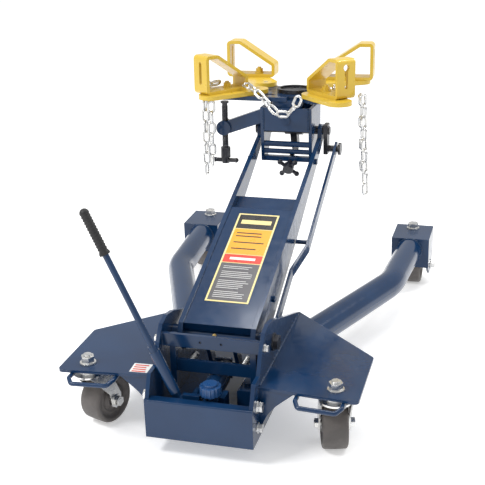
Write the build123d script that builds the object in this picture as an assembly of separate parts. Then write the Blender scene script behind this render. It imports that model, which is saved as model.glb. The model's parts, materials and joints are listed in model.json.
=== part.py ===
"""Low-lift hydraulic transmission jack: a wheeled base, a parallelogram lift arm and a chained saddle.

Millimetres, +Z up, +Y from the pump end towards the fixed wheels, +X to the right.
While it is modelled, Y is 0 at the pump end's plate and Z is 0 on the floor.  Before the
sub-parts are written they all move together so that the origin lies on the floor under the
middle of the overall box.
"""
from build123d import *
from math import atan2, cos, degrees, hypot, radians, sin
import os

# ---------------------------------------------------------------- driving dimensions
PLATE = 8.0                 # thickness of the two side plates
BASE_HALF = 107.8           # outer face of a side plate
SHEET = 6.0                 # thickness of wings, floor and covers
BASE_BOTTOM = 38.0
WING_TOP = 145.3
END_PLATE_TOP = 119.0

PIVOT_Y, PIVOT_Z = 165.0, 185.0        # main pivot of the lift arm
HEAD_Y, HEAD_Z = 792.0, 450.0          # head pivot at the arm's tip, arm at rest
CRANK = 45.0                           # parallel link below both pivots
ARM_SLOPE = 18.95                      # slope of the rails' top edge at rest
RAIL_HALF, RAIL_T = 80.0, 10.0         # outer face and thickness of the arm's rails
LINK_IN_X, LINK_OUT_X = 88.0, 108.0    # parallel link: inner run beside the arm, outer run at the crank
SADDLE_TILT = -2.5                     # fore-and-aft tilt of the saddle at rest

WHEEL_R, WHEEL_W = 50.8, 50.8          # 4 in by 2 in wheels
CASTER_X, CASTER_Y = 251.4, 72.0       # kingpins of the swivel casters
TRAIL = 41.0
CASTER_TURN = {"left": -20.0, "right": 16.0}
FAR_X, FAR_AXLE_Y = 285.0, 967.0       # fixed wheels
HOUSING_Y = 908.0                      # front face of a fixed wheel's housing
TUBE_R, TUBE_WALL = 31.75, 3.2         # leg tubes, 2 1/2 in
BORE_GAP = 0.05                        # radial running clearance of a pin in its hole

WIRE_R, LINK_IN, LINK_W = 3.2, 27.0, 21.0   # chain link: wire, inner length, outer width
PITCH = LINK_IN - 0.35
FRAME_T, FRAME_W = 8.0, 50.0           # bent flat bar of the saddle brackets
FRAME_L, FRAME_H, FRAME_TOP, FRAME_TOE = 126.0, 92.0, 36.0, 34.0
STUD_AT = 80.0                         # clamping stud along an upright's foot
PAD_W, PAD_T = 60.0, 10.0              # base plate of a saddle bracket
ARM_T = 10.0                           # thickness of the saddle's blue arms
SADDLE_Z = 76.0                        # underside of the saddle's arms above the head pivot
SIDE_AXIS = 33.0                       # side tilt axis above the head pivot
DISC_Y = 36.0                          # saddle centre behind the head pivot

# one entry per saddle bracket, in the saddle's own plane, y from the head pivot:
# pad's outer end, direction in degrees and length; upright's outer foot and direction
BRACKETS = {
    "front_left": dict(pad=(-193, -116, 49.5, 190), upright=(-197, -100, 55)),
    "front_right": dict(pad=(160, -138, 133.5, 168), upright=(153, -98, 136)),
    "rear_left": dict(pad=(-160, 214, -58, 158), upright=(-210, 188, 2)),
    "rear_right": dict(pad=(160, 194, -148, 168), upright=(172, 186, -176)),
}
PAD_END = 24.0                         # from a pad's inner end to its pivot pin

HANDLE_PIVOT = (-48.0, 36.0, 104.0)
HANDLE_LEAN = 24.0                     # the pump handle leans to the left, degrees from upright
HANDLE_LENGTH = 414.0
KNOB = (14.0, 42.0, 132.0)             # release knob
PLUNGER = (-10.0, 36.0)                # pump plunger
PUMP_TOP = 84.0
RAM_Z = 104.0                          # axis of the cylinder and its ram
SIDE_SCREW = (-158.0, -36.0)           # side tilt screw, x and y from the head pivot
STAR = (8.0, -64.0, -82.0)             # star knob, from the head pivot
STAR_RISE = 30.0                       # its screw climbs away from the pump end

parts = {}


# ---------------------------------------------------------------- small helpers
def box(x0, x1, y0, y1, z0, z1):
    """A block between two corners."""
    size = (abs(x1 - x0), abs(y1 - y0), abs(z1 - z0))
    return Pos((x0 + x1) / 2, (y0 + y1) / 2, (z0 + z1) / 2) * Box(*size)


def rod_x(x0, x1, y, z, r):
    return Pos((x0 + x1) / 2, y, z) * Rot(0, 90, 0) * Cylinder(r, abs(x1 - x0))


def rod_y(y0, y1, x, z, r):
    return Pos(x, (y0 + y1) / 2, z) * Rot(90, 0, 0) * Cylinder(r, abs(y1 - y0))


def rod_z(z0, z1, x, y, r):
    return Pos(x, y, (z0 + z1) / 2) * Cylinder(r, abs(z1 - z0))


def plate_yz(points, x0, x1, round_r=0.0):
    """A plate with an outline in Y and Z, between two X faces."""
    outline = Polyline(*[(y, z) for y, z in points], close=True)
    face = make_face(outline)
    solid = extrude(Plane.YZ * face, x1 - x0)
    solid = Pos(x0, 0, 0) * solid
    if round_r:
        solid = fillet(solid.edges().filter_by(Axis.X), round_r)
    return solid


def plate_xy(points, z0, z1, round_r=0.0):
    """A plate with an outline in X and Y, between two Z faces."""
    solid = Pos(0, 0, z0) * extrude(make_face(Polyline(*points, close=True)), z1 - z0)
    if round_r:
        solid = fillet(solid.edges().filter_by(Axis.Z), round_r)
    return solid


def hex_prism(across, height):
    """A hexagon bar along Z, from Z 0 upwards, with chamfered corners."""
    flat = extrude(RegularPolygon(across / 2, 6, major_radius=False), height)
    cone = Pos(0, 0, height / 2) * Cylinder(across * 0.56, height)
    return flat & cone


def hex_nut(across, height, hole_r=0.0, flange=0.0):
    nut = Pos(0, 0, flange) * hex_prism(across, height)
    if flange:
        nut += Pos(0, 0, flange / 2) * Cylinder(across * 0.68, flange)
    if hole_r:
        nut -= Pos(0, 0, height / 2) * Cylinder(hole_r, height * 3)
    return nut


def facing_x(shape, x, y, z, sign):
    """Turn a nut so that it stands along +X or -X on the face at x."""
    return Pos(x, y, z) * Rot(0, 90 * sign, 0) * shape


def chain_link(centre, along, turn):
    """One link of welded chain, its length along a direction and turned about it."""
    half = (LINK_IN + 2 * WIRE_R - LINK_W) / 2
    ring_r = LINK_W / 2 - WIRE_R
    straight = [
        Pos(0, side * ring_r, 0) * Rot(0, 90, 0) * Cylinder(WIRE_R, 2 * half) for side in (-1, 1)
    ]
    bow = Torus(ring_r, WIRE_R)
    keep = box(0, 40, -40, 40, -20, 20)
    right = Pos(half, 0, 0) * (bow & keep)
    left = Pos(-half, 0, 0) * (bow & Rot(0, 0, 180) * keep)
    link = straight[0] + straight[1] + right + left
    yaw = degrees(atan2(along[1], along[0]))
    pitch = -degrees(atan2(along[2], hypot(along[0], along[1])))
    return Pos(*centre) * Rot(0, 0, yaw) * Rot(0, pitch, 0) * Rot(turn, 0, 0) * link


def chain(points, turn=0.0, flip=90.0):
    """Links strung along straight runs; each link is a separate solid."""
    links = []
    start = Vector(*points[0])
    index = 0
    for target in points[1:]:
        step = Vector(*target) - start
        count = max(1, round(step.length / PITCH))
        way = step.normalized()
        for k in range(count):
            centre = start + way * (PITCH * (k + 0.5))
            links.append(chain_link(tuple(centre), tuple(way), turn + flip * (index % 2)))
            index += 1
        start = start + way * (PITCH * count)
    return Compound(links)


def group(*solids):
    return Compound(list(solids))


def at_head(shape):
    """From the untilted head frame (origin on the head pivot) to the base frame."""
    return Pos(0, HEAD_Y, HEAD_Z) * Rot(SADDLE_TILT, 0, 0) * shape


def along_arm(shape):
    """From the arm's own frame (Y along the rails, Z square to them) to the base frame."""
    return Pos(0, PIVOT_Y, PIVOT_Z) * Rot(ARM_SLOPE, 0, 0) * shape


# ---------------------------------------------------------------- base
def side_plate(side):
    """Side plate with the raised ear that carries the main pivot."""
    inner, outer = BASE_HALF - PLATE, BASE_HALF
    outline = [
        (SHEET, BASE_BOTTOM), (SHEET, END_PLATE_TOP), (26, 163), (60, 163), (80, 203),
        (104, 232), (134, 238), (170, 231), (237, 205), (380, 153), (398, 128),
        (398, 60), (370, BASE_BOTTOM),
    ]
    plate = plate_yz(outline, inner, outer)
    plate -= rod_x(inner - 1, outer + 1, PIVOT_Y, PIVOT_Z, 11 + BORE_GAP)
    if side < 0:
        plate = mirror(plate, Plane.YZ)
    return plate


def end_plate():
    """Closing plate at the pump end, with a narrow flange folded back along its top."""
    plate = box(-BASE_HALF, BASE_HALF, 0, SHEET, BASE_BOTTOM, END_PLATE_TOP)
    inner = BASE_HALF - PLATE
    plate += box(-inner, inner, SHEET, 20, END_PLATE_TOP - 5, END_PLATE_TOP)
    return fillet(plate.edges().filter_by(Axis.X).group_by(Axis.Y)[0].sort_by(Axis.Z)[-1], 3)


def floor_plate():
    inner = BASE_HALF - PLATE
    return box(-inner, inner, SHEET, 370, BASE_BOTTOM, BASE_BOTTOM + SHEET)


def cross_bar():
    """Flat bar across the ears with two small tapped holes."""
    inner = BASE_HALF - PLATE
    bar = box(-inner, inner, 96, 104, 189, 216)
    for x in (-21.5, 21.5):
        bar -= rod_y(90, 110, x, 202.5, 2.6)
    return bar


def bay_frame():
    """Welded H frame behind the cross bar: two uprights and a lower bar."""
    frame = box(-76, 76, 112, 118, 128, 154)
    for side in (-1, 1):
        frame += box(side * 76, side * 88, 104, 118, BASE_BOTTOM + SHEET, 210)
    return frame


def wing_plate(side):
    """Outrigger plate that carries a swivel caster."""
    outline = [(BASE_HALF, 50), (301, 33), (300, 217), (BASE_HALF, 398)]
    plate = plate_xy(outline, WING_TOP - SHEET, WING_TOP)
    corners = plate.edges().filter_by(Axis.Z).group_by(Axis.X)[-2:]
    plate = fillet(corners[0] + corners[1], 10)
    plate -= rod_z(130, 150, CASTER_X, CASTER_Y, 8.05)
    if side < 0:
        plate = mirror(plate, Plane.YZ)
    return plate


def wing_gussets():
    """Curved gussets under both wings, near edge and far edge."""
    top = WING_TOP - SHEET
    solids = []
    for y0 in (50, 246):
        curve = Spline((150, 116), (127, 92), (BASE_HALF, 44))
        edge = Polyline((BASE_HALF, 44), (BASE_HALF, top), (178, top), (150, 116))
        face = make_face(Wire([curve, *edge.edges()]))
        gusset = Pos(0, y0 + 6, 0) * extrude(Plane.XZ * face, 6)
        solids += [gusset, mirror(gusset, Plane.YZ)]
    return group(*solids)


def loop_handles():
    """Bent rods under the wings' near edges, to drag the jack by."""
    z = WING_TOP - SHEET - 4.5
    path = FilletPolyline(
        (182, 54, z), (182, 32, z), (190, 14, z - 4), (262, 8, z - 4), (272, 22, z), (272, 42, z),
        radius=7)
    loop = sweep(Plane(origin=path @ 0, z_dir=path % 0) * Circle(4.5), path=path)
    return group(loop, mirror(loop, Plane.YZ))


def leg_path():
    """Centre line of a leg tube, from the side plate out to the fixed wheel's housing."""
    z = WING_TOP - SHEET - TUBE_R
    return FilletPolyline((BASE_HALF - 8, 268, z), (268, 684, z), (FAR_X - 2, HOUSING_Y + 2, z), radius=190)


def leg_tube(side):
    path = leg_path()
    section = Plane(origin=path @ 0, z_dir=path % 0)
    outer = sweep(section * Circle(TUBE_R), path=path)
    inner = sweep(section * Circle(TUBE_R - TUBE_WALL), path=path)
    tube = outer - inner
    tube -= box(0, BASE_HALF, 150, 420, 0, 200)
    tube -= box(100, 400, HOUSING_Y, HOUSING_Y + 50, 0, 200)
    if side < 0:
        tube = mirror(tube, Plane.YZ)
    return tube


def far_bracket(side):
    """Inverted-U housing of a fixed wheel: top, front and two cheeks, one near corner cut off."""
    x0, x1 = FAR_X - 48, FAR_X + 48
    y0, y1, top = HOUSING_Y, 1016, 140
    shell = box(x0, x1, y0, y1, top - SHEET, top) + box(x0, x1, y0, y0 + SHEET, 62, top)
    cheek = [(y0, 62), (y0, top), (y1, top), (y1, 78), (990, 34), (944, 34)]
    for c0, c1 in ((x0, x0 + SHEET), (x1 - SHEET, x1)):
        shell += plate_yz(cheek, c0, c1)
    shell -= rod_x(x0 - 1, x1 + 1, FAR_AXLE_Y, WHEEL_R, 6.4 + BORE_GAP)
    shell -= rod_z(top - 20, top + 5, FAR_X - 3, 990, 8.05)
    if side < 0:
        shell = mirror(shell, Plane.YZ)
    return shell


def pump_block():
    """Cast pump and valve body bolted to the floor plate."""
    z0 = BASE_BOTTOM + SHEET
    block = box(-42, 48, 22, 62, z0, PUMP_TOP)
    block = fillet(block.edges().filter_by(Axis.Z), 6)
    block += rod_z(PUMP_TOP, 112, KNOB[0], KNOB[1], 15)
    block -= rod_z(82, 113, KNOB[0], KNOB[1], 5 + BORE_GAP)
    block -= rod_z(46.5, PUMP_TOP + 1, PLUNGER[0], PLUNGER[1], 6 + BORE_GAP)
    lug = box(-60, -42, 26, 30, z0, 112) + box(-60, -42, 42, 46, z0, 112)
    lug -= rod_y(20, 50, HANDLE_PIVOT[0], HANDLE_PIVOT[2], 5 + BORE_GAP)
    return group(*(block + lug).solids(), *reservoir().solids())


def cylinder():
    """Hydraulic cylinder along the bay, open at its far end for the ram."""
    body = rod_y(64, 146, 0, RAM_Z, 22)
    body += box(-34, 34, 64, 96, BASE_BOTTOM + SHEET, RAM_Z)
    body -= rod_y(66, 147, 0, RAM_Z, 16 + BORE_GAP)
    return body


def reservoir():
    """Oil tank beside the cylinder, with a filler plug."""
    tank = box(42, 74, 122, 240, BASE_BOTTOM + SHEET, 92)
    tank = fillet(tank.edges().filter_by(Axis.Y), 5)
    tank += rod_z(92, 97, 58, 150, 8)
    return tank


def return_springs():
    """Two return springs, as plain sleeves of their outer size."""
    spring = []
    for x in (-56, 54):
        spring.append(rod_y(119, 170, x, 140, 7) - rod_y(118, 171, x, 140, 4.5))
    return group(*spring)


def main_shaft():
    """Main pivot shaft of the arm, with its head and nut outside the side plates."""
    reach = BASE_HALF + 4
    shaft = rod_x(-reach, reach, PIVOT_Y, PIVOT_Z, 11)
    for side in (-1, 1):
        shaft += rod_x(side * BASE_HALF, side * (BASE_HALF + 3), PIVOT_Y, PIVOT_Z, 18)
        shaft += facing_x(hex_prism(28, 9), side * (BASE_HALF + 3), PIVOT_Y, PIVOT_Z, side)
    return group(*shaft.solids(), *link_pin().solids())


def base_fasteners():
    """Nuts on the side plates and the wings, the housings' bolts and the handle's pin."""
    solids = [handle_pin()]
    for side in (-1, 1):
        solids.append(facing_x(hex_nut(19, 9, flange=2.5), side * BASE_HALF, 34, 112, side))
        solids.append(facing_x(hex_nut(16, 8, flange=2), side * BASE_HALF, 34, 66, side))
        solids.append(facing_x(hex_nut(13, 6, flange=1.5), side * BASE_HALF, 100, 202, side))
        nut = hex_nut(24, 13, hole_r=8.05, flange=3)
        solids.append(Pos(side * CASTER_X, CASTER_Y, WING_TOP) * nut)
        x = side * (FAR_X - 3)
        bolt = Pos(x, 990, 140) * hex_nut(24, 12, flange=3)
        bolt += rod_z(124, 156, x, 990, 8)
        bolt += Pos(x, 990, 134) * Rot(180, 0, 0) * hex_nut(24, 9)
        solids.append(bolt)
    return group(*solids)


def far_axles():
    """Axle bolts of the fixed wheels, with spacers on both sides of the hub."""
    solids = []
    for side in (-1, 1):
        x0, x1 = FAR_X - 48, FAR_X + 48
        axle = rod_x(x0 - 10, x1 + 12, FAR_AXLE_Y, WHEEL_R, 6.4)
        axle += facing_x(hex_prism(19, 8), x0, FAR_AXLE_Y, WHEEL_R, -1)
        axle += facing_x(hex_nut(19, 9, flange=2), x1, FAR_AXLE_Y, WHEEL_R, 1)
        for s0, s1 in ((x0 + SHEET, x0 + 21), (x1 - 21, x1 - SHEET)):
            axle += rod_x(s0, s1, FAR_AXLE_Y, WHEEL_R, 12)
        solids.append(axle if side > 0 else mirror(axle, Plane.YZ))
    return group(*solids)


# ---------------------------------------------------------------- wheels and casters
def wheel(x, y, turn=0.0):
    """A solid wheel with a crowned tread, dished faces and a bored hub, axle along X."""
    half = WHEEL_W / 2
    tread = WHEEL_R
    profile = Polyline(
        (half - 7, 17), (half - 7, 36), (half - 1.5, 40), (half, 44), (half, tread - 5),
        (half - 4, tread), (-half + 4, tread), (-half, tread - 5), (-half, 44), (-half + 1.5, 40),
        (-half + 7, 36), (-half + 7, 17), (-half, 17), (-half, 6.4 + BORE_GAP),
        (half, 6.4 + BORE_GAP), (half, 17), close=True)
    solid = revolve(Plane.XY * make_face(profile), Axis.X, 360)
    return Pos(x, y, WHEEL_R) * Rot(0, 0, turn) * solid


def in_caster(shape, side):
    """From a caster's own frame (origin on the floor under the kingpin, trail along +Y)."""
    name = "left" if side < 0 else "right"
    return Pos(side * CASTER_X, CASTER_Y, 0) * Rot(0, 0, CASTER_TURN[name]) * shape


def caster_fork(side):
    """Pressed swivel fork with its race, kingpin and grease fitting."""
    top = WING_TOP - SHEET
    half = 31.0
    fork = rod_z(top - 16, top - 12, 0, 0, 33) + box(-half, half, 4, 30, top - 16, top - 12)
    cheek = [(-26, top - 12), (26, top - 12), (TRAIL + 14, 62), (TRAIL + 14, 44), (TRAIL - 2, 34),
             (TRAIL - 14, 42), (TRAIL - 18, 70)]
    for c0 in (-half, half - 3.5):
        leg = plate_yz(cheek, c0, c0 + 3.5)
        leg -= rod_x(c0 - 1, c0 + 5, TRAIL, WHEEL_R, 6.4 + BORE_GAP)
        fork += leg
    fork += rod_z(top - 12, top - 0.4, 0, 0, 24)
    fork += rod_z(top - 1, WING_TOP + 20, 0, 0, 8)
    fork += rod_z(top - 23, top - 15, 0, 0, 14)
    fork += Pos(14, -29, top - 14) * Rot(70, 0, 0) * Cylinder(2.6, 9)
    return in_caster(group(*fork.solids(), *caster_axle().solids()), side)


def caster_axle():
    reach = 31.0
    axle = rod_x(-reach - 8, reach + 10, TRAIL, WHEEL_R, 6.4)
    axle += facing_x(hex_prism(19, 7), -reach, TRAIL, WHEEL_R, -1)
    axle += facing_x(hex_nut(19, 8, flange=1.5), reach, TRAIL, WHEEL_R, 1)
    return axle


def caster_wheel(side):
    return in_caster(wheel(0, TRAIL), side)


# ---------------------------------------------------------------- lift arm
def in_arm(y, z):
    """A point of the base frame in the arm's own frame: along the rails and square to them."""
    dy, dz, a = y - PIVOT_Y, z - PIVOT_Z, radians(ARM_SLOPE)
    return dy * cos(a) + dz * sin(a), dz * cos(a) - dy * sin(a)


ARM_TIP = in_arm(HEAD_Y, HEAD_Z)       # head pivot in the arm's own frame


def arm_rail(side):
    """Tapered rail, deep at the main pivot, with an ear for the head pivot at its tip."""
    outline = [
        (-12, 42), (652, 42), (ARM_TIP[0] - 13, ARM_TIP[1] + 13), (ARM_TIP[0] + 2, ARM_TIP[1] + 17),
        (ARM_TIP[0] + 16, ARM_TIP[1] + 8), (ARM_TIP[0] + 16, ARM_TIP[1] - 10), (664, 24), (590, 10),
        (470, -6), (360, -21), (105, -40), (20, -38), (-22, -22), (-28, 0), (-26, 28),
    ]
    rail = plate_yz(outline, RAIL_HALF - RAIL_T, RAIL_HALF)
    rail -= rod_x(60, 90, 0, 0, 17)
    rail -= rod_x(60, 90, ARM_TIP[0], ARM_TIP[1], 10 + BORE_GAP)
    rail = along_arm(rail)
    if side < 0:
        rail = mirror(rail, Plane.YZ)
    return rail


def arm_tubes():
    """Pivot tube through both rails, short of the parallel link, and the rails' small bosses."""
    left, right = BASE_HALF - PLATE - 0.4, LINK_IN_X - 2
    tube = rod_x(-left, right, 0, 0, 17) - rod_x(-left - 1, right + 1, 0, 0, 11 + BORE_GAP)
    solids = [along_arm(tube)]
    for side in (-1, 1):
        for s, t in ((120, 2), (575, 27)):
            solids.append(along_arm(facing_x(hex_prism(13, 5), side * RAIL_HALF, s, t, side)))
    return group(*solids)


def cover_plates():
    """Raised cover over the lower half of the arm and the recessed plate beyond it."""
    inner = RAIL_HALF - RAIL_T
    cover = box(-inner, inner, -10, 368, 34, 40)
    cover += box(-inner, inner, -10, -4, 22, 34)
    recessed = box(-inner, inner, 352, 432, 16, 22)
    return group(along_arm(cover), along_arm(recessed))


def lift_lever():
    """Twin lever under the pivot tube that the ram pushes."""
    outline = [(PIVOT_Y - 15, PIVOT_Z), (PIVOT_Y + 15, PIVOT_Z), (204, 112), (202, 98), (190, 98),
               (184, 108)]
    lever = rod_x(-24, 24, 195, 107, 7)
    for x0 in (-32, 24):
        lever += plate_yz(outline, x0, x0 + 8) - rod_x(x0 - 1, x0 + 9, PIVOT_Y, PIVOT_Z, 17)
    return lever


def label_plate():
    """Thin plain data label on the cover."""
    return along_arm(box(-46, 46, 58, 346, 40, 40.6))


def grease_fitting():
    """Grease fitting on the pivot tube."""
    nipple = rod_z(16.5, 22, -8, 0, 4) + rod_z(22, 27, -8, 0, 2.6)
    return Pos(0, PIVOT_Y, PIVOT_Z) * Rot(62, 0, 0) * nipple


# ---------------------------------------------------------------- parallel link and levelling crank
def level_link():
    """Flat bar beside the arm: straight, joggled outwards, and straight to the crank."""
    length = hypot(HEAD_Y - PIVOT_Y, HEAD_Z - PIVOT_Z)
    slope = degrees(atan2(HEAD_Z - PIVOT_Z, HEAD_Y - PIVOT_Y))
    t = 6.0
    side_view = Polyline(
        (LINK_IN_X, -14), (LINK_IN_X, 250), (LINK_OUT_X, 330), (LINK_OUT_X, length + 14),
        (LINK_OUT_X + t, length + 14), (LINK_OUT_X + t, 329), (LINK_IN_X + t, 249),
        (LINK_IN_X + t, -14), close=True)
    bar = Pos(0, 0, -11) * extrude(make_face(side_view), 22)
    bar -= rod_x(60, 140, 0, 0, 7 + BORE_GAP)
    bar -= rod_x(60, 140, length, 0, 8 + BORE_GAP)
    bar += rod_x(RAIL_HALF + 1.5, LINK_OUT_X, 345, 2, 5)
    return Pos(0, PIVOT_Y, PIVOT_Z - CRANK) * Rot(slope, 0, 0) * bar


def link_pin():
    """Fixed pin in the side plate on which the parallel link turns."""
    pin = rod_x(83.5, BASE_HALF - PLATE, PIVOT_Y, PIVOT_Z - CRANK, 7)
    pin += rod_x(81.5, 84, PIVOT_Y, PIVOT_Z - CRANK, 11)
    return pin


def head_shaft():
    """Shaft through both rail tips; the crank and the levelling lever are welded to it."""
    shaft = rod_x(-RAIL_HALF - 3, 97, HEAD_Y, HEAD_Z, 10)
    shaft += facing_x(hex_prism(26, 6), -RAIL_HALF - 1, HEAD_Y, HEAD_Z, -1)
    return group(*shaft.solids(), *level_lever().solids(), *crank_bar().solids())


def crank_bar():
    """Crank outside the right rail, down to the parallel link."""
    crank = plate_yz([(HEAD_Y - 15, HEAD_Z + 16), (HEAD_Y + 15, HEAD_Z + 16),
                      (HEAD_Y + 13, HEAD_Z - CRANK - 12), (HEAD_Y - 13, HEAD_Z - CRANK - 12)],
                     RAIL_HALF + 3, RAIL_HALF + 13)
    crank -= rod_x(80, 106, HEAD_Y, HEAD_Z, 10)
    pin = rod_x(RAIL_HALF + 13, 122, HEAD_Y, HEAD_Z - CRANK, 8)
    pin += rod_x(118, 124, HEAD_Y, HEAD_Z - CRANK, 15)
    return crank + pin


def level_lever():
    """Lever keyed to the middle of the shaft, down to the tilt screw's block."""
    lever = plate_yz([(HEAD_Y - 13, HEAD_Z), (HEAD_Y + 13, HEAD_Z), (HEAD_Y + 22, HEAD_Z - 34),
                      (HEAD_Y + 10, HEAD_Z - 54), (HEAD_Y - 2, HEAD_Z - 40)], 0, 16)
    lever += rod_x(-14, 30, HEAD_Y, HEAD_Z, 13)
    lever -= rod_x(-20, 40, HEAD_Y, HEAD_Z, 10)
    return lever


# ---------------------------------------------------------------- tilting head
def head_yoke():
    """Open-topped yoke: front and back plates between two cheeks that turn on the head shaft."""
    yoke = box(-55, 55, -57, -49, 6, 62) + box(-55, 55, 41, 49, 6, 62)
    cheek = [(-57, 62), (49, 62), (49, 0), (16, -18), (-18, -70), (-48, -70), (-52, -18)]
    for c0 in (-63, 55):
        leg = plate_yz(cheek, c0, c0 + 8)
        leg -= rod_x(c0 - 1, c0 + 9, 0, 0, 10 + BORE_GAP)
        yoke += leg
    yoke -= rod_y(-58, 50, 0, SIDE_AXIS, 11)
    return at_head(yoke + tilt_bracket())


def yoke_bars():
    """Cross bars between the lower ends of the yoke's cheeks, and the side tilt's shaft."""
    bars = [at_head(rod_x(-55, 55, y, z, r)) for y, z, r in ((-44, -28, 7), (-44, -46, 6))]
    bar = box(-55, 55, -47, -33, -74 + 4, -58)
    axis_y, axis_z = STAR[1], STAR[2]
    hole = Pos(STAR[0], axis_y, axis_z) * Rot(STAR_RISE - 90, 0, 0) * Cylinder(6 + BORE_GAP, 160)
    bars.append(at_head(bar - hole))
    bars.append(at_head(rod_y(-60, 52, 0, SIDE_AXIS, 11)))
    return group(*[solid for bar in bars for solid in bar.solids()])


def tilt_bracket():
    """Tapered arm at the yoke's left with the boss of the side tilt screw."""
    x, y = SIDE_SCREW
    outline = Polyline((-63, 56), (-63, 22), (x + 6, -10), (x - 2, 20), close=True)
    arm = Pos(0, y + 10, 0) * extrude(Plane.XZ * make_face(outline), 20)
    arm += rod_y(y - 16, y + 16, x, 6, 18)
    arm -= rod_z(-40, 60, x, y, 8)
    return arm


# ---------------------------------------------------------------- side tilt screw and star knob
def side_screw():
    """Threaded rod with its hexagon hub; the thread is cut as plain rings."""
    x, y = SIDE_SCREW
    screw = rod_z(-46, 66, x, y, 6.5)
    for k in range(34):
        screw += rod_z(-42 + 3 * k, -40.6 + 3 * k, x, y, 7.6)
    screw += Pos(x, y, -70) * hex_prism(22, 26)
    screw += rod_z(66, 70, x, y, 10)
    return at_head(screw)


def side_tee():
    """Cross handle below the hub of the side tilt screw."""
    x, y = SIDE_SCREW
    bar = rod_x(x - 27, x + 27, y, -77, 5.2)
    for side in (-1, 1):
        bar += Pos(x + side * 27, y, -77) * Sphere(6)
    bar += rod_z(-84, -70.2, x, y, 9)
    return at_head(bar)


def star_frame(shape):
    """From the star knob's own frame (its screw along +Z) to the base frame."""
    return at_head(Pos(*STAR) * Rot(STAR_RISE - 90, 0, 0) * shape)


def star_knob():
    """Four-armed hand knob with ball ends, on its screw."""
    knob = Cylinder(13, 16)
    for k in range(4):
        arm = Pos(17, 0, 0) * Rot(0, 90, 0) * Cylinder(4.6, 14) + Pos(26, 0, 0) * Sphere(6.4)
        knob += Rot(0, 0, 45 + 90 * k) * arm
    knob += Pos(0, 0, 32) * Cylinder(6, 48)
    knob += Pos(0, 0, 11) * Cylinder(9, 6)
    return star_frame(knob)


# ---------------------------------------------------------------- saddle
def pad_pivot(name):
    x, y, turn, length = BRACKETS[name]["pad"]
    along = length - PAD_END
    return x + along * cos(radians(turn)), y + along * sin(radians(turn))


def saddle_block():
    """Hub of the saddle, hanging between the yoke's plates on the side tilt shaft."""
    block = box(-38, 38, -47, 39, SIDE_AXIS, SADDLE_Z + 2)
    block = fillet(block.edges().filter_by(Axis.Z), 8)
    block += rod_y(-47, 39, 0, SIDE_AXIS, 17)
    block -= rod_y(-60, 60, 0, SIDE_AXIS, 11 + BORE_GAP)
    return block


def saddle_arms():
    """Hub plate with four flat arms that carry the bracket pads."""
    plate = Pos(0, DISC_Y, SADDLE_Z + ARM_T / 2) * Cylinder(62, ARM_T)
    for name in BRACKETS:
        px, py = pad_pivot(name)
        dx, dy = px, py - DISC_Y
        reach, turn = hypot(dx, dy) + (34 if name == "front_left" else 12), degrees(atan2(dy, dx))
        arm = box(0, reach, -24, 24, SADDLE_Z, SADDLE_Z + ARM_T)
        arm += Pos(reach, 0, SADDLE_Z + ARM_T / 2) * Cylinder(24, ARM_T)
        plate += Pos(0, DISC_Y, 0) * Rot(0, 0, turn) * arm
    plate += box(-160, 0, SIDE_SCREW[1] - 14, SIDE_SCREW[1] + 18, SADDLE_Z, SADDLE_Z + ARM_T)
    plate += rod_z(SADDLE_Z, SADDLE_Z + ARM_T, SIDE_SCREW[0], SIDE_SCREW[1], 16)
    for name in BRACKETS:
        px, py = pad_pivot(name)
        plate -= rod_z(SADDLE_Z - 1, SADDLE_Z + ARM_T + 1, px, py, 6)
    return at_head(plate + saddle_block())


def saddle_ring():
    """Round seat on the hub plate, with a raised rim."""
    z0 = SADDLE_Z + ARM_T
    ring = rod_z(z0, z0 + 9.5, 0, DISC_Y, 42) - rod_z(z0 + 5, z0 + 13, 0, DISC_Y, 35)
    return at_head(ring)


def pad_pins():
    """Pivot pins of the four pads, flush above and with a nut below."""
    solids = []
    for name in BRACKETS:
        px, py = pad_pivot(name)
        bolt = rod_z(SADDLE_Z - 5, SADDLE_Z + ARM_T + PAD_T, px, py, 6)
        bolt += Pos(px, py, SADDLE_Z) * Rot(180, 0, 0) * hex_prism(18, 5)
        solids.append(at_head(bolt))
    return group(*solids)


def pad(name):
    """Base plate of a bracket: round-ended bar with a pivot hole."""
    x, y, turn, length = BRACKETS[name]["pad"]
    z0 = SADDLE_Z + ARM_T + 0.3
    bar = box(PAD_W / 2, length - PAD_W / 2, -PAD_W / 2, PAD_W / 2, z0, z0 + PAD_T)
    for end in (PAD_W / 2, length - PAD_W / 2):
        bar += rod_z(z0, z0 + PAD_T, end, 0, PAD_W / 2)
    bar -= rod_z(z0 - 1, z0 + PAD_T + 1, length - PAD_END, 0, 6 + BORE_GAP)
    return at_head(Pos(x, y, 0) * Rot(0, 0, turn) * bar)


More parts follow.
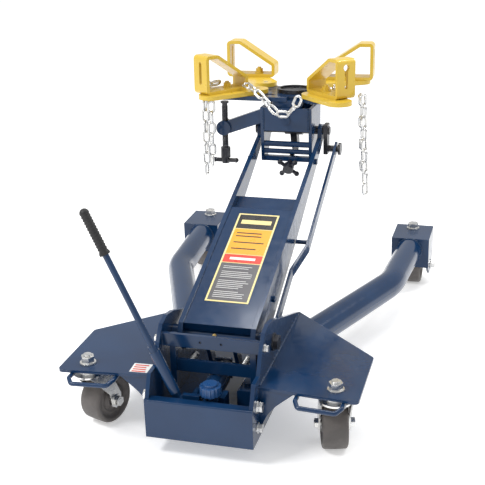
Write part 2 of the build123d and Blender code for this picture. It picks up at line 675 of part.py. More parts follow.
def upright(name):
    """Bent flat bar with a window: tall slotted leg, short top, sloping bar and toe."""
    x, y, turn = BRACKETS[name]["upright"]
    outer = [(0, 0), (0, FRAME_H), (FRAME_TOP, FRAME_H), (FRAME_L, FRAME_TOE), (FRAME_L, 0)]
    face = make_face(Polyline(*outer, close=True))
    outer_face = fillet(face.vertices(), 10)
    inner_face = offset(outer_face, -FRAME_T)
    z0 = SADDLE_Z + ARM_T + 0.3 + PAD_T
    frame = Pos(0, FRAME_W / 2, z0) * extrude(Plane.XZ * (outer_face - inner_face), FRAME_W)
    slot = box(-1, FRAME_T + 1, -4.5, 4.5, z0 + 28, z0 + 72)
    slot += rod_x(-1, FRAME_T + 1, 0, z0 + 28, 4.5) + rod_x(-1, FRAME_T + 1, 0, z0 + 72, 4.5)
    if name == "front_right":
        slot += rod_x(-1, FRAME_T + 1, 0, z0 + 72, 8)
    frame -= slot
    z1 = z0 + FRAME_T
    stud = Pos(STUD_AT, 0, z1) * hex_nut(17, 9, flange=2) + rod_z(z1, z1 + 15, STUD_AT, 0, 5)
    pieces = group(*frame.solids(), *stud.solids())
    return at_head(Pos(x, y, 0) * Rot(0, 0, turn) * pieces)


# ---------------------------------------------------------------- chains
def head_point(x, y, z):
    """A point of the untilted head frame, as it lies in the base frame."""
    a = radians(SADDLE_TILT)
    return x, HEAD_Y + y * cos(a) - z * sin(a), HEAD_Z + y * sin(a) + z * cos(a)


def front_chain():
    """Slack chain hanging across the front of the saddle."""
    route = [(-108, -28, 112), (-76, -60, 104), (-44, -80, 84), (-14, -90, 56), (14, -92, 55),
             (38, -94, 82), (46, -99, 106)]
    return at_head(chain(route, turn=20))


def strand(x, y, top, count, turn, lean=-2):
    """Links hanging down from a point, their lower end a little to one side."""
    return chain([(x, y, top), (x + lean, y, top - PITCH * count)], turn=turn).solids()


def lying(name, along, across, yaw, count):
    """Links lying on the foot of an upright, edge on and flat by turns."""
    x, y, turn = BRACKETS[name]["upright"]
    z = SADDLE_Z + ARM_T + PAD_T + FRAME_T + LINK_W / 2 + 1.0
    way = radians(turn + yaw)
    links = []
    for k in range(count):
        a, c = radians(turn), PITCH * (k + 0.5)
        px = x + along * cos(a) - across * sin(a) + c * cos(way)
        py = y + along * sin(a) + across * cos(a) + c * sin(way)
        link = chain_link((px, py, z), (cos(way), sin(way), 0), 45 + 90 * (k % 2))
        links.append(at_head(link))
    return links


def left_chain():
    """Two strands hanging under the front left pad and a stretch lying in its upright."""
    links = strand(-194, 716, 534, 7, 10) + strand(-174.5, 702, 534, 6, 60)
    return group(*links, *lying("front_left", 14, 13, 0, 2))


def right_chain():
    """Two strands hanging beside the front right upright and a stretch lying in its upright."""
    links = strand(190, 712, 560, 9, 35, lean=8) + strand(184, 736, 556, 8, 80, lean=6)
    return group(*links, *lying("front_right", 14, -13, 0, 2))


# ---------------------------------------------------------------- pump handle and release knob
def in_handle(shape):
    """From the handle's own frame (origin on its pivot, +Z along it) to the base frame."""
    return Pos(*HANDLE_PIVOT) * Rot(0, -HANDLE_LEAN, 0) * shape


def handle_socket():
    """Rocking socket: pivot eye, lever nose over the plunger and tube for the handle."""
    socket = Pos(0, 0, 66) * (Cylinder(10.5, 92) - Pos(0, 0, 10) * Cylinder(7.2, 92))
    socket += Rot(90, 0, 0) * Cylinder(12, 11)
    socket += box(-7, 7, -5.5, 5.5, 0, 24)
    x, y, z = HANDLE_PIVOT
    socket = in_handle(socket) + handle_nose()
    return socket - rod_y(y - 20, y + 20, x, z, 5 + BORE_GAP)


def handle_nose():
    """Nose of the rocking lever, above the pump plunger."""
    x, y, z = HANDLE_PIVOT
    nose = box(x + 10, x + 42, y - 5, y + 5, z + 8, z + 17)
    nose += box(x + 8, x + 16, y - 5, y + 5, z - 2, z + 17)
    return nose


def handle_rod():
    rod = Pos(0, 0, (30 + HANDLE_LENGTH - 70) / 2 + 10) * Cylinder(6.4, HANDLE_LENGTH - 100)
    rod += Pos(0, 0, 118) * Cylinder(8.4, 12)
    return in_handle(rod)


def handle_grip():
    z0 = HANDLE_LENGTH - 92
    grip = Pos(0, 0, z0 + 46) * Cylinder(9.6, 92) + Pos(0, 0, z0 + 92) * Sphere(9.6)
    grip -= Pos(0, 0, z0 + 20) * Cylinder(6.4, 96)
    return in_handle(grip)


def handle_pin():
    x, y, z = HANDLE_PIVOT
    return rod_y(y - 12, y + 12, x, z, 5) + rod_y(y - 14, y - 10.1, x, z, 8)


def plunger():
    """Pump plunger under the lever's nose."""
    x, y = PLUNGER
    return rod_z(68, 109, x, y, 6) + rod_z(106, 111, x, y, 9)


def release_knob():
    """Fluted knob of the release valve with its stem."""
    x, y, z = KNOB
    knob = rod_z(z - 8, z + 10, x, y, 21)
    for k in range(16):
        a = radians(22.5 * k)
        knob -= rod_z(z - 9, z + 11, x + 22.5 * cos(a), y + 22.5 * sin(a), 3)
    knob += rod_z(z + 10, z + 15, x, y, 14)
    knob += rod_z(86, z - 7, x, y, 5)
    return knob


def ram():
    """Chromed ram with its crosshead."""
    return rod_y(92, 174, 0, RAM_Z, 16) + box(-18, 18, 174, 180, 88, 132)


# ---------------------------------------------------------------- assembly
def build():
    for side, name in ((-1, "left"), (1, "right")):
        parts["side_plate_" + name] = side_plate(side)
        parts["wing_plate_" + name] = wing_plate(side)
        parts["leg_tube_" + name] = leg_tube(side)
        parts["far_bracket_" + name] = far_bracket(side)
        parts["caster_fork_" + name] = caster_fork(side)
        parts["caster_wheel_" + name] = caster_wheel(side)
        parts["fixed_wheel_" + name] = wheel(side * FAR_X, FAR_AXLE_Y)
        parts["arm_rail_" + name] = arm_rail(side)
    for maker in (end_plate, floor_plate, cross_bar, bay_frame, wing_gussets, loop_handles,
                  pump_block, cylinder, return_springs, main_shaft, base_fasteners, far_axles,
                  arm_tubes, cover_plates, lift_lever, label_plate, grease_fitting,
                  level_link, head_shaft, head_yoke, yoke_bars, side_screw, side_tee, star_knob,
                  saddle_arms, saddle_ring, pad_pins, front_chain, left_chain, right_chain,
                  handle_socket, handle_rod, handle_grip, plunger, release_knob, ram):
        parts[maker.__name__] = maker()
    for name in BRACKETS:
        parts["pad_" + name] = pad(name)
        parts["upright_" + name] = upright(name)


build()
bounds = [shape.bounding_box() for shape in parts.values()]
LOW = [min(tuple(edge.min)[axis] for edge in bounds) for axis in range(3)]
HIGH = [max(tuple(edge.max)[axis] for edge in bounds) for axis in range(3)]
SHIFT = (-(LOW[0] + HIGH[0]) / 2, -(LOW[1] + HIGH[1]) / 2, 0.0)

os.makedirs("parts", exist_ok=True)
for node, shape in parts.items():
    export_step(Pos(*SHIFT) * shape, "parts/" + node + ".step")
print("nodes", len(parts), "low", LOW, "high", HIGH, "shift", SHIFT)
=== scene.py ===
"""Looks of the transmission jack: enamel, zinc, worn steel, welds, springs, label and studio."""

import json
import math
import random

import bmesh
import bpy
from mathutils import Matrix, Vector


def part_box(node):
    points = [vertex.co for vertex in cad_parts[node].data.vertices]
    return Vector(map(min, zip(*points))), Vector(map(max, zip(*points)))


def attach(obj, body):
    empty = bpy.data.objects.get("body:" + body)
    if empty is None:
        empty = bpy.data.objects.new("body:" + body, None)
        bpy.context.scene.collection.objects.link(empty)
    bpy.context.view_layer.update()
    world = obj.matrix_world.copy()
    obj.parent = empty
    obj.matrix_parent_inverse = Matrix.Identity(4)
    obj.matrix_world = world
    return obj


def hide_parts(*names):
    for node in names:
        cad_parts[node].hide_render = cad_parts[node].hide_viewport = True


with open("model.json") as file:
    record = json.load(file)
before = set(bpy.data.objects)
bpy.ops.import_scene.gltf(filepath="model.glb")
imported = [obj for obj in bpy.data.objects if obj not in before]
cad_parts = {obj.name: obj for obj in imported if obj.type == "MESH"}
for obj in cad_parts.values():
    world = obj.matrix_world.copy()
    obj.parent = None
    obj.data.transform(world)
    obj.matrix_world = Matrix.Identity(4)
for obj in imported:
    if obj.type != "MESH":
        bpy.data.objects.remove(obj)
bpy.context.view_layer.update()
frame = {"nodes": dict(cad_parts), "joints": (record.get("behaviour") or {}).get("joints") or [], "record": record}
chance = random.Random(7)

JOINTS = {joint["name"]: joint for joint in frame["joints"]}
SIDES = ((-1, "left"), (1, "right"))
HEAD_TILT = math.radians(-2.5)
ARM_SLOPE = math.radians(18.95)
HANDLE_LEAN = math.radians(-24.0)
WHEEL_RADIUS = 0.0508
BEAD, SMALL_BEAD = 0.0032, 0.0024       # radii of the weld beads
RIPPLE_STEP = 0.75                      # spacing of a bead's ripples, over its radius
SINK = 0.0004                           # how far the sticker sinks into the plate under it

WHITE = (1.0, 1.0, 1.0, 1.0)
NOISE_SPAN = (0.3, 0.7)                 # nearly all of a noise texture's values lie between these
FLAT, SHARP = 0.92, 0.74                # how far the true normal agrees with the bevelled one
EDGE_WIDTH = 0.0022                     # how far wear reaches in from a sharp edge
BEVEL_SAMPLES = 4
CHIP_SCALE, GLOSS_SCALE = 140.0, 55.0
RELIEF_DEPTH = 0.0004
COLOUR_A, COLOUR_B, COLOUR_OUT = 6, 7, 2    # colour sockets of the Mix node, after its other kinds


# ---------------------------------------------------------------- materials
def start(name):
    """A new material, its surface node, a node maker and a link maker."""
    mat = bpy.data.materials.new(name)
    mat.use_nodes = True
    tree = mat.node_tree

    def add(kind, **settings):
        node = tree.nodes.new(kind)
        for key, value in settings.items():
            if key in node.inputs:
                node.inputs[key].default_value = value
            else:
                setattr(node, key, value)
        return node

    return mat, tree.nodes["Principled BSDF"], add, tree.links.new


def give(node, values):
    """Set a node's inputs by name."""
    for name, value in values.items():
        node.inputs[name].default_value = value


def ramp(add, link, source, low, high, out_low=0.0, out_high=1.0):
    """Map one span of values to another and hold its ends."""
    span = add("ShaderNodeMapRange")
    give(span, {"From Min": low, "From Max": high, "To Min": out_low, "To Max": out_high})
    link(source, span.inputs["Value"])
    return span.outputs["Result"]


def noise(add, link, scale, low, high, detail=4.0):
    """Noise over the object, mapped between two values."""
    place = add("ShaderNodeTexCoord")
    texture = add("ShaderNodeTexNoise", Scale=scale, Detail=detail)
    link(place.outputs["Object"], texture.inputs["Vector"])
    return ramp(add, link, texture.outputs["Fac"], *NOISE_SPAN, low, high)


def blend_colours(add, link, factor, first, second):
    """Mix two colours, each a tuple or another node's output."""
    mix = add("ShaderNodeMix", data_type="RGBA")
    link(factor, mix.inputs["Factor"])
    for socket, colour in ((mix.inputs[COLOUR_A], first), (mix.inputs[COLOUR_B], second)):
        if isinstance(colour, tuple):
            socket.default_value = (*colour, 1.0)
        else:
            link(colour, socket)
    return mix.outputs[COLOUR_OUT]


def multiply(add, link, first, second):
    """An output times a number or another output, held between 0 and 1."""
    node = add("ShaderNodeMath", operation="MULTIPLY", use_clamp=True)
    link(first, node.inputs[0])
    if isinstance(second, float):
        node.inputs[1].default_value = second
    else:
        link(second, node.inputs[1])
    return node.outputs[0]


def edge_mask(add, link, rounded):
    """A mask, 1 along sharp edges and 0 on the flats, and a normal that rounds those edges."""
    shape = add("ShaderNodeNewGeometry")
    wide = add("ShaderNodeBevel", samples=BEVEL_SAMPLES, Radius=EDGE_WIDTH)
    soft = add("ShaderNodeBevel", samples=BEVEL_SAMPLES, Radius=rounded)
    dot = add("ShaderNodeVectorMath", operation="DOT_PRODUCT")
    link(shape.outputs["Normal"], dot.inputs[0])
    link(wide.outputs["Normal"], dot.inputs[1])
    return ramp(add, link, dot.outputs["Value"], FLAT, SHARP), soft.outputs["Normal"]


def finish(name, colour, shade, worn, rough, metal=0.0, wear=0.5, grain=900.0, relief=0.06,
           coat=0.0, specular=0.5, rounded=0.0012, blotch=9.0):
    """One surface: two tones in soft blotches, worn edges, uneven gloss and fine relief."""
    mat, surface, add, link = start(name)
    mask, soft = edge_mask(add, link, rounded)
    tone = noise(add, link, blotch, 0.0, 1.0)
    speck = noise(add, link, CHIP_SCALE, -0.6, 1.0, detail=6.0)
    chipped = multiply(add, link, multiply(add, link, mask, speck), wear)
    body = blend_colours(add, link, tone, colour, shade)
    link(blend_colours(add, link, chipped, body, worn), surface.inputs["Base Color"])
    link(noise(add, link, GLOSS_SCALE, *rough), surface.inputs["Roughness"])
    give(surface, {"Metallic": metal, "Specular IOR Level": specular,
                   "Coat Weight": coat, "Coat Roughness": 0.05})
    bump = add("ShaderNodeBump", Strength=relief, Distance=RELIEF_DEPTH)
    link(noise(add, link, grain, 0.0, 1.0, detail=3.0), bump.inputs["Height"])
    link(soft, bump.inputs["Normal"])
    link(bump.outputs["Normal"], surface.inputs["Normal"])
    return mat


def film(name, colour, shade, worn, rough):
    """Printed plastic film of one colour."""
    return finish("film_" + name, colour, shade, worn, rough, relief=0.05, wear=0.3)


BLUE = finish("navy_enamel", (0.0032, 0.023, 0.072), (0.0050, 0.032, 0.094), (0.12, 0.17, 0.26),
              (0.12, 0.24), coat=0.15, specular=0.38, relief=0.05, grain=240.0, wear=0.35)
BLUE_LIGHT = finish("blue_enamel_light", (0.010, 0.055, 0.17), (0.016, 0.075, 0.22),
                    (0.2, 0.3, 0.45), (0.22, 0.36), coat=0.3, relief=0.10)
YELLOW = finish("yellow_enamel", (0.60, 0.40, 0.030), (0.68, 0.47, 0.045), (0.34, 0.24, 0.08),
                (0.26, 0.42), coat=0.3, wear=0.35, relief=0.08, grain=280.0)
ZINC = finish("zinc_plate", (0.62, 0.63, 0.64), (0.76, 0.75, 0.72), (0.86, 0.86, 0.86),
              (0.18, 0.36), metal=1.0, relief=0.12, blotch=60.0, rounded=0.0006)
DARK = finish("oiled_steel", (0.035, 0.037, 0.045), (0.075, 0.075, 0.08), (0.42, 0.42, 0.44),
              (0.24, 0.45), metal=0.85, wear=0.8, relief=0.2, blotch=40.0, rounded=0.0006)
CHROME = finish("hard_chrome", (0.70, 0.71, 0.73), (0.80, 0.80, 0.81), (0.85, 0.85, 0.85),
                (0.06, 0.14), metal=1.0, relief=0.03, blotch=50.0, rounded=0.0005)
BRASS = finish("brass", (0.62, 0.44, 0.16), (0.74, 0.56, 0.25), (0.85, 0.72, 0.4),
               (0.22, 0.36), metal=1.0, relief=0.08, blotch=80.0, rounded=0.0003)
WHEEL = finish("phenolic_wheel", (0.070, 0.063, 0.060), (0.115, 0.102, 0.096), (0.20, 0.18, 0.17),
               (0.42, 0.62), wear=0.7, relief=0.5, grain=420.0, blotch=26.0, rounded=0.0015)
GRIP = finish("rubber_grip", (0.010, 0.010, 0.011), (0.018, 0.018, 0.019), (0.05, 0.05, 0.05),
              (0.42, 0.60), relief=0.4, grain=700.0, specular=0.4, rounded=0.0006)
KNOB = finish("moulded_knob", (0.008, 0.009, 0.016), (0.016, 0.018, 0.030), (0.07, 0.07, 0.09),
              (0.22, 0.36), relief=0.12, rounded=0.001)
WELD = finish("painted_weld", (0.0035, 0.024, 0.074), (0.005, 0.033, 0.094), (0.10, 0.15, 0.22),
              (0.18, 0.34), coat=0.10, specular=0.35, relief=0.35, grain=500.0, wear=0.3)
FILM = {
    "border": film("cream", (0.78, 0.66, 0.28), (0.84, 0.72, 0.34), (0.5, 0.4, 0.2), (0.25, 0.4)),
    "black": film("black", (0.012, 0.012, 0.014), (0.02, 0.02, 0.022), (0.15, 0.15, 0.15),
                  (0.22, 0.38)),
    "orange": film("orange", (0.78, 0.33, 0.014), (0.86, 0.42, 0.03), (0.5, 0.3, 0.1), (0.24, 0.4)),
    "red": film("red", (0.62, 0.035, 0.018), (0.70, 0.05, 0.03), (0.4, 0.1, 0.06), (0.24, 0.4)),
    "grey": film("grey", (0.085, 0.082, 0.09), (0.12, 0.118, 0.125), (0.3, 0.3, 0.3), (0.26, 0.42)),
    "white": film("white", (0.78, 0.78, 0.76), (0.84, 0.84, 0.82), (0.5, 0.5, 0.48), (0.25, 0.4)),
}
SLOT_FINISH = {
    "blue_paint": BLUE, "yellow_paint": YELLOW, "zinc": ZINC, "dark_steel": DARK, "chrome": CHROME,
    "brass": BRASS, "wheel": WHEEL, "grip": GRIP, "label": FILM["border"], "knob_black": KNOB,
}
NODE_FINISH = {"release_knob": BLUE_LIGHT}


def dress(obj, mat):
    """Give every slot of an object one material."""
    if not obj.material_slots:
        obj.data.materials.append(mat)
    for slot in obj.material_slots:
        slot.material = mat


def dress_frame():
    """Give each CAD node the finish of its slot, or its own."""
    for part in frame["record"]["subparts"]:
        node = part["node"]
        dress(frame["nodes"][node], NODE_FINISH.get(node, SLOT_FINISH[part["material_slot"]]))


# ---------------------------------------------------------------- building pieces
def piece(name, mesh_maker, mat, body, smooth=True):
    """A mesh object made by filling a bmesh, with one material, on a body."""
    mesh = bpy.data.meshes.new(name)
    work = bmesh.new()
    mesh_maker(work)
    bmesh.ops.recalc_face_normals(work, faces=work.faces)
    work.to_mesh(mesh)
    work.free()
    obj = bpy.data.objects.new(name, mesh)
    bpy.context.scene.collection.objects.link(obj)
    for polygon in mesh.polygons:
        polygon.use_smooth = smooth
    mesh.materials.append(mat)
    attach(obj, body)
    return obj


def revolved(work, profile, place, segments):
    """A closed profile of (radius, height) turned about Z, then put in place."""
    rings = []
    for k in range(segments):
        turn = 2 * math.pi * k / segments
        rings.append([
            work.verts.new(place @ Vector((r * math.cos(turn), r * math.sin(turn), z)))
            for r, z in profile
        ])
    count = len(profile)
    for k, ring in enumerate(rings):
        after = rings[(k + 1) % segments]
        for i in range(count):
            j = (i + 1) % count
            work.faces.new((ring[i], after[i], after[j], ring[j]))


def mirrored(side, middle=()):
    """Half a profile, the points at height 0 and the mirror image of that half."""
    return [*side, *middle, *((r, -z) for r, z in reversed(side))]


def block(work, place, x0, x1, y0, y1, z0, z1):
    """A box between two corners of a local frame."""
    corners = [work.verts.new(place @ Vector((x, y, z)))
               for z in (z0, z1) for x, y in ((x0, y0), (x1, y0), (x1, y1), (x0, y1))]
    for ring in ((3, 2, 1, 0), (4, 5, 6, 7), (0, 1, 5, 4), (1, 2, 6, 5), (2, 3, 7, 6), (3, 0, 4, 7)):
        work.faces.new([corners[i] for i in ring])


def weld_bead(name, points, radius, body):
    """A row of overlapping ripples along a line, as a hand weld leaves them."""
    def fill(work):
        for start_at, end_at in zip(points, points[1:]):
            way = end_at - start_at
            count = max(1, round(way.length / (radius * RIPPLE_STEP)))
            for k in range(count):
                at = start_at + way * ((k + chance.uniform(0.3, 0.7)) / count)
                size = radius * chance.uniform(0.86, 1.08)
                flat = size * 0.9
                place = Matrix.Translation(at) @ Matrix.Diagonal((size, size, flat, 1.0))
                bmesh.ops.create_icosphere(work, subdivisions=2, radius=1.0, matrix=place)
    return piece(name, fill, WELD, body)


def tube_along(work, points, radius, sides):
    """A round wire with closed ends, through points that lie close together."""
    rings = []
    across = None
    for k, point in enumerate(points):
        way = (points[min(k + 1, len(points) - 1)] - points[max(k - 1, 0)]).normalized()
        across = way.orthogonal() if k == 0 else across - way * across.dot(way)
        across.normalize()
        other = way.cross(across)
        rings.append([
            work.verts.new(point + (across * math.cos(a) + other * math.sin(a)) * radius)
            for a in (2 * math.pi * i / sides for i in range(sides))
        ])
    for ring, after in zip(rings, rings[1:]):
        for i in range(sides):
            j = (i + 1) % sides
            work.faces.new((ring[i], ring[j], after[j], after[i]))
    work.faces.new(rings[0])
    work.faces.new(rings[-1])


# ---------------------------------------------------------------- frames of the sub-assemblies
def pivot(joint):
    """Where a joint's axis lies at rest."""
    return Vector(JOINTS[joint]["pos_m"])


def arm_place():
    """X across, Y along the rails, Z square to them, from the main pivot."""
    return Matrix.Translation(pivot("arm_lift")) @ Matrix.Rotation(ARM_SLOPE, 4, "X")


def head_place():
    """The tilted head's own frame, from the head pivot."""
    return Matrix.Translation(pivot("fore_aft_tilt")) @ Matrix.Rotation(HEAD_TILT, 4, "X")


# ---------------------------------------------------------------- pieces
def label_face():
    """Printed film on the arm's cover: generic bands, panels and rules."""
    place = arm_place()
    left, right, near, far = -0.046, 0.046, 0.058, 0.346    # edges of the film
    low, base = 0.0400, 0.0406                              # tops of the cover and of the film
    ink, mark = base + 0.0001, base + 0.0002                # tops of the panels and of their rules
    inset, gap = 0.004, 0.002                               # border, and space between panels
    margin, ragged = 0.008, 0.020                           # sides of the rules, and their uneven ends
    x0, x1 = left + inset, right - inset
    lower = (near + inset, near + 0.120)
    band = (near + 0.120 + gap, near + 0.148)
    title = (far - 0.052, far - inset)
    upper = (near + 0.148 + gap, far - 0.052 - gap)
    room, head_room = 0.010, 0.012                          # plain strips above and below the rules
    title_rule = (title[0] + 0.016, title[1] - 0.018)
    band_margin, band_rule = 0.014, (band[0] + 0.009, band[1] - 0.009)

    def sheet(name, colour, xs, ys, top):
        return piece(name, lambda work: block(work, place, *xs, *ys, low, top),
                     FILM[colour], "arm", smooth=False)

    def lines(name, colour, first, last, step, thick, skip):
        """Rules of different lengths down a panel, now and then with one left out."""
        def fill(work):
            s = first
            while s > last:
                end = x1 - margin - chance.uniform(0.0, ragged)
                block(work, place, x0 + margin, end, s - thick, s, low, mark)
                s -= step
                if chance.random() < skip:
                    s -= step
        piece(name, fill, FILM[colour], "arm", smooth=False)

    backing = sheet("label_backing", "border", (left, right), (near, far), base)
    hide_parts("label_plate")
    sheet("label_title", "black", (x0, x1), title, ink)
    sheet("label_upper", "orange", (x0, x1), upper, ink)
    sheet("label_band", "red", (x0, x1), band, ink)
    sheet("label_lower", "grey", (x0, x1), lower, ink)
    lines("label_rules_light", "white", first=lower[1] - room, last=lower[0] + room,
          step=0.0056, thick=0.0014, skip=0.10)
    lines("label_rules_dark", "black", first=upper[1] - head_room, last=upper[0] + room,
          step=0.0105, thick=0.0034, skip=0.25)
    sheet("label_title_rule", "border", (x0 + margin, x1 - margin), title_rule, mark)
    sheet("label_band_rule", "white", (x0 + band_margin, x1 - band_margin), band_rule, mark)


def wing_sticker():
    """Small plain sticker on the left wing's near corner by the side plate."""
    low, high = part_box("wing_plate_left")
    x, from_edge, slant = -0.138, 0.040, math.radians(3)
    half_x, half_y, thick, raised = 0.020, 0.018, 0.0003, 0.0005
    place = Matrix.Translation((x, low.y + from_edge, high.z)) @ Matrix.Rotation(slant, 4, "Z")
    piece("sticker_film",
          lambda work: block(work, place, -half_x, half_x, -half_y, half_y, -SINK, thick),
          FILM["white"], "base", smooth=False)

    def marks(work):
        half, ragged, first, step, tall = 0.016, 0.012, 0.013, 0.0085, 0.004
        for k in range(4):
            top = first - step * k
            end = half - chance.uniform(0.0, ragged)
            block(work, place, -half, end, top - tall, top, -SINK, raised)
    piece("sticker_rules", marks, FILM["red"], "base", smooth=False)


def return_springs():
    """Two close-wound return springs in place of the plain sleeves."""
    low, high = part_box("return_springs")
    outer, wire, turns, per_turn, end_gap = 0.0070, 0.0013, 15, 20, 0.002
    radius = outer - wire
    length = high.y - low.y - 2 * end_gap
    z = (low.z + high.z) / 2

    def fill(work):
        for x in (low.x + outer, high.x - outer):
            points = []
            for k in range(turns * per_turn + 1):
                a = 2 * math.pi * k / per_turn
                y = low.y + end_gap + length * k / (turns * per_turn)
                points.append(Vector((x + radius * math.cos(a), y, z + radius * math.sin(a))))
            tube_along(work, points, wire, sides=8)
    coils = piece("return_spring_coils", fill, ZINC, "base")
    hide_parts("return_springs")


def grip():
    """Ribbed rubber grip with a flange and a domed end, in place of the plain sleeve."""
    place = Matrix.Translation(pivot("handle_pump")) @ Matrix.Rotation(HANDLE_LEAN, 4, "Y")
    start_at, end_at = 0.322, 0.414         # along the handle from its pivot
    outer, inner, centre, cap = 0.0096, 0.0066, 0.0002, 0.004
    plain = 0.006                           # length without ribs at each end
    ribs, per_rib, depth, dome_steps = 13, 6, 0.0006, 8
    flange = [(inner, start_at), (outer + 0.0012, start_at), (outer + 0.0014, start_at + 0.003)]
    sleeve = []
    for k in range(ribs * per_rib + 1):
        z = start_at + plain + (end_at - start_at - 2 * plain) * k / (ribs * per_rib)
        sleeve.append((outer - depth + depth * math.cos(2 * math.pi * k / per_rib), z))
    dome = []
    for k in range(1, dome_steps + 1):
        a = math.pi / 2 * k / dome_steps
        dome.append((max(outer * math.cos(a), centre), end_at - plain + outer * math.sin(a)))
    hollow = [(centre, end_at - cap), (inner, end_at - plain)]
    profile = flange + sleeve + dome + hollow
    made = piece("ribbed_grip", lambda work: revolved(work, profile, place, segments=48),
                 GRIP, "handle")
    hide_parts("handle_grip")


def wheel_profile(radius, half):
    """Section of a wheel: bored hub, dished web with a ring rib, rounded crowned tread."""
    hub = [(0.0126, 0.0008), (0.0165, 0.0006), (0.0182, 0.0022)]        # radius, depth from the face
    web = [(0.0188, 0.0058), (0.0215, 0.0070), (0.0262, 0.0070)]
    lip = 0.0002
    rib = [(0.0272, 0.0058), (0.0292, 0.0058), (0.0302, 0.0070)]
    rim = [(0.0345, 0.0068), (0.0378, 0.0040), (0.0405, 0.0012), (0.0430, lip)]
    side = [(r, half - depth) for r, depth in hub + web + rib + rim]
    corner, crown, steps = 0.0060, 0.0004, 6
    for k in range(steps + 1):
        a = math.pi / 2 * k / steps
        side.append((radius - crown - corner * (1 - math.sin(a)),
                     half - lip - corner * (1 - math.cos(a))))
    return mirrored(side, middle=[(radius, 0.0)])


def bush_profile(half):
    """Section of the turned bush in a wheel's bore, with bevelled ends."""
    bore, face, outer, bevel = 0.0066, 0.0112, 0.0125, 0.0010
    end = half - 0.0004
    return mirrored([(bore, end), (face, end), (outer, end - bevel)])


def wheels():
    """Moulded wheels with turned steel bushes, in place of the plain ones."""
    radius, half = WHEEL_RADIUS, WHEEL_RADIUS / 2
    for kind in ("caster", "fixed"):
        for _, name in SIDES:
            body = f"{kind}_wheel_{name}"
            joint = JOINTS[f"{kind}_roll_{name}"]
            turn = Vector(joint["axis"]).to_track_quat("Z", "Y").to_matrix().to_4x4()
            place = Matrix.Translation(joint["pos_m"]) @ turn
            tyre = piece("moulded_" + body,
                         lambda work: revolved(work, wheel_profile(radius, half), place, segments=96),
                         WHEEL, body)
            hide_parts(body)
            piece("bush_" + body, lambda work: revolved(work, bush_profile(half), place, segments=40),
                  ZINC, body, smooth=False)


def outer_x(side, box):
    """X of a box's face on the left or right side of the jack."""
    low, high = box
    return high.x if side > 0 else low.x


def welds():
    """Beads where the plates, tubes, housings, cross bar and yoke meet."""
    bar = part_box("cross_bar")
    head = head_place()
    around = 32                                         # points of the ring round a leg tube
    wing_start, wing_end, bar_end = 0.022, 0.004, 0.001     # how far the beads stop short
    yoke_x, yoke_y, yoke_ends = 0.055, -0.057, (0.010, 0.060)
    for side, name in SIDES:
        wing_low, wing_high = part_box("wing_plate_" + name)
        face = outer_x(side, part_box("side_plate_" + name))
        weld_bead("weld_wing_" + name, [Vector((face, wing_low.y + wing_start, wing_high.z)),
                                        Vector((face, wing_high.y - wing_end, wing_high.z))], BEAD, "base")

        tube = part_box("leg_tube_" + name)
        low, high = tube[0].z, tube[1].z
        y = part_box("far_bracket_" + name)[0].y
        radius = (high - low) / 2
        x = outer_x(side, tube) - side * radius
        ring = []
        for k in range(around + 1):
            a = 2 * math.pi * k / around
            ring.append(Vector((x + radius * math.cos(a), y, low + radius * (1 + math.sin(a)))))
        weld_bead("weld_housing_" + name, ring, BEAD, "base")

        ends = (bar[0].z + bar_end, bar[1].z - bar_end)
        weld_bead("weld_bar_" + name,
                  [Vector((outer_x(side, bar), bar[0].y, z)) for z in ends], SMALL_BEAD, "base")
        weld_bead("weld_yoke_" + name,
                  [head @ Vector((side * yoke_x, yoke_y, z)) for z in yoke_ends], SMALL_BEAD, "head")


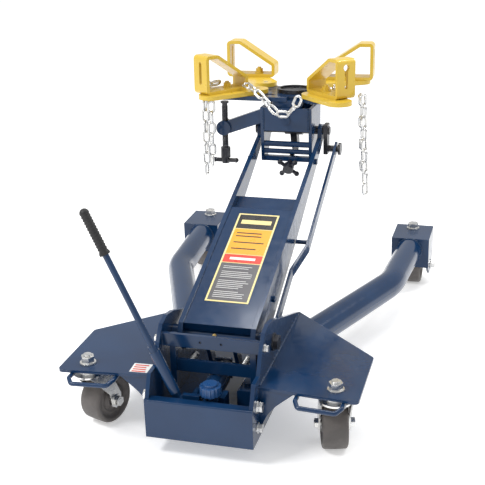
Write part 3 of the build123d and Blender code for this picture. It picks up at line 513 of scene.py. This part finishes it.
# ---------------------------------------------------------------- studio
def area_light(name, at, aim, size, watts):
    """A soft rectangular light, aimed at a point."""
    light = bpy.data.lights.new(name, "AREA")
    light.shape = "RECTANGLE"
    light.size, light.size_y = size
    light.energy = watts
    obj = bpy.data.objects.new(name, light)
    bpy.context.scene.collection.objects.link(obj)
    obj.location = at
    obj.rotation_euler = (Vector(aim) - Vector(at)).to_track_quat("-Z", "Y").to_euler()


def studio():
    """Pale floor, white surroundings and three soft lights."""
    mat, surface, add, link = start("studio_floor")
    tone = noise(add, link, 1.5, 0.0, 1.0)
    link(blend_colours(add, link, tone, (0.86, 0.86, 0.86), (0.90, 0.90, 0.90)),
         surface.inputs["Base Color"])
    give(surface, {"Roughness": 0.75, "Emission Color": WHITE, "Emission Strength": 0.38})
    half = 14.0
    corners = [(-half, -half, 0), (half, -half, 0), (half, half, 0), (-half, half, 0)]
    mesh = bpy.data.meshes.new("floor")
    mesh.from_pydata(corners, [], [(0, 1, 2, 3)])
    floor = bpy.data.objects.new("floor", mesh)
    bpy.context.scene.collection.objects.link(floor)
    mesh.materials.append(mat)

    world = bpy.data.worlds.new("studio")
    world.use_nodes = True
    give(world.node_tree.nodes["Background"], {"Color": WHITE, "Strength": 0.72})
    bpy.context.scene.world = world
    middle = (0.0, 0.0, 0.3)
    area_light("key", (-1.6, -1.6, 2.6), middle, size=(0.9, 0.5), watts=52.0)
    area_light("strip", (1.3, 0.9, 2.3), (0.2, 0.2, 0.1), size=(0.12, 1.8), watts=26.0)
    area_light("top", (-0.2, 0.8, 3.0), middle, size=(1.0, 0.7), watts=22.0)
    bpy.context.scene.view_settings.view_transform = "Standard"


def camera():
    """A long lens, a little above the jack and to its right."""
    azimuth, elevation, roll = (math.radians(a) for a in (16.36, 20.86, -1.78))
    at = (0.578, -2.1399, 1.104)
    lens = bpy.data.cameras.new("camera")
    lens.lens, lens.sensor_width = 77.42, 36.0
    obj = bpy.data.objects.new("camera", lens)
    bpy.context.scene.collection.objects.link(obj)
    turn = Matrix.Rotation(azimuth, 4, "Z") @ Matrix.Rotation(math.pi / 2 - elevation, 4, "X")
    obj.matrix_world = Matrix.Translation(at) @ turn @ Matrix.Rotation(roll, 4, "Z")
    bpy.context.scene.camera = obj


dress_frame()
label_face()
wing_sticker()
return_springs()
grip()
wheels()
welds()
studio()
camera()
